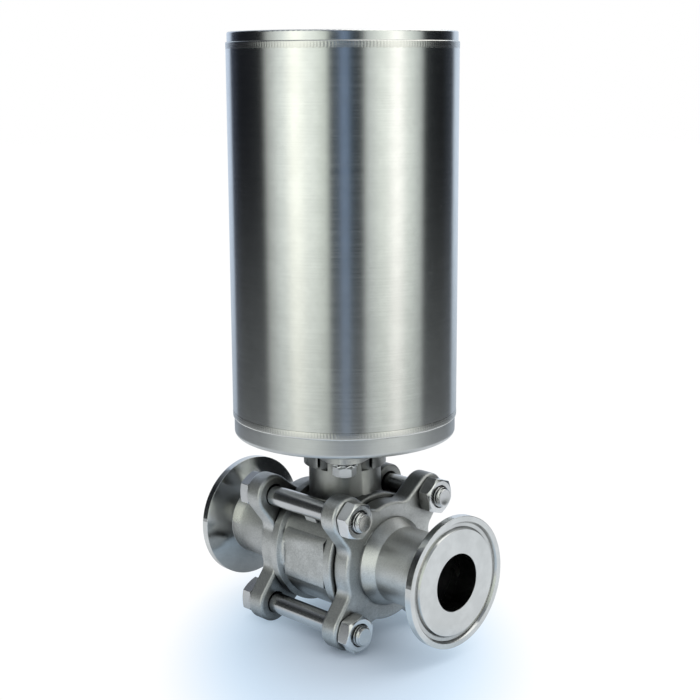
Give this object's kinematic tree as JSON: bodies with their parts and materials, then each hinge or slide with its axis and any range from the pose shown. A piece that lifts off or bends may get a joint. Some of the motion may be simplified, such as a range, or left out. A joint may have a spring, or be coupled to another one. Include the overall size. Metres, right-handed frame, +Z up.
{
  "type": "pneumatic ball valve",
  "caption": "Stainless ball valve with clamp ferrule ends, opened by an air piston and closed by springs in the cylindrical actuator that stands on its mounting pad.",
  "frame": {"origin": "on the ground, straight under the ball's centre, between the lower bolt lugs", "axes": "+X along the pipe towards the nut side, +Z up the stem, +Y away from the camera, towards the air ports"},
  "size_m": [0.118, 0.0874, 0.2307],
  "materials": {
    "cast_steel": "investment cast, glass blasted, matt",
    "tube_steel": "turned and brushed round",
    "fastener_steel": "bright rolled stainless",
    "turned_steel": "fine turned",
    "hard_steel": "ground",
    "spring_steel": "phosphated",
    "white_polymer": "moulded fluoropolymer",
    "dark_polymer": "filled fluoropolymer",
    "black_rubber": "moulded",
    "light_alloy": "turned, anodised",
    "bronze": "sintered bronze"
  },
  "bodies": {
    "housing": {"end_cap_left": "cast_steel", "end_cap_right": "cast_steel", "valve_body": "cast_steel", "seat_left": "white_polymer", "seat_right": "white_polymer", "body_seal_left": "white_polymer", "body_seal_right": "white_polymer", "stem_thrust_washer": "white_polymer", "stem_packing": "white_polymer", "gland_ring": "turned_steel", "body_bolts": "fastener_steel", "body_nuts": "fastener_steel", "mounting_bolts": "fastener_steel", "lock_washers": "fastener_steel", "plain_washers": "fastener_steel", "actuator_tube": "tube_steel", "bottom_cover": "tube_steel", "top_cover": "tube_steel", "weld_beads": "tube_steel", "breather_plug": "bronze", "shaft_bush": "bronze", "shaft_seal": "black_rubber", "thrust_washer": "dark_polymer", "retaining_ring": "fastener_steel", "guide_post": "turned_steel", "spring_plate": "turned_steel", "outer_spring": "spring_steel", "inner_spring": "spring_steel"},
    "piston": {"piston": "light_alloy", "piston_seal": "black_rubber", "piston_guide_band": "dark_polymer", "roller_pins": "turned_steel", "roller_clips": "fastener_steel"},
    "rotor": {"ball": "turned_steel", "stem": "turned_steel", "disc_springs": "fastener_steel", "stem_nut": "fastener_steel", "square_reducer": "turned_steel", "cam_shaft": "turned_steel"},
    "roller_right": {"cam_roller_right": "hard_steel"},
    "roller_left": {"cam_roller_left": "hard_steel"}
  },
  "joints": [
    {"name": "piston_slide", "type": "slide", "parent": "housing", "child": "piston", "axis": [0, 0, 1], "range_m": [0, 0.04], "stiffness_N_per_m": 2000, "springref_m": -0.01, "deforming": ["outer_spring", "inner_spring"]},
    {"name": "ball_turn", "type": "hinge", "parent": "housing", "child": "rotor", "pos_m": [0, 0, 0.0303], "axis": [0, 0, 1], "range_deg": [0, 90]},
    {"name": "roller_right_turn", "type": "hinge", "parent": "piston", "child": "roller_right", "pos_m": [0.0158, 0, 0.1253], "axis": [1, 0, 0], "range_deg": [-450, 0]},
    {"name": "roller_left_turn", "type": "hinge", "parent": "piston", "child": "roller_left", "pos_m": [-0.0158, 0, 0.1253], "axis": [-1, 0, 0], "range_deg": [-450, 0]}
  ],
  "couplings": [
    {"joint": "ball_turn", "follows": "piston_slide", "rad_per_m": 39.27},
    {"joint": "roller_right_turn", "follows": "piston_slide", "rad_per_m": -195.63},
    {"joint": "roller_left_turn", "follows": "piston_slide", "rad_per_m": -195.63}
  ]
}
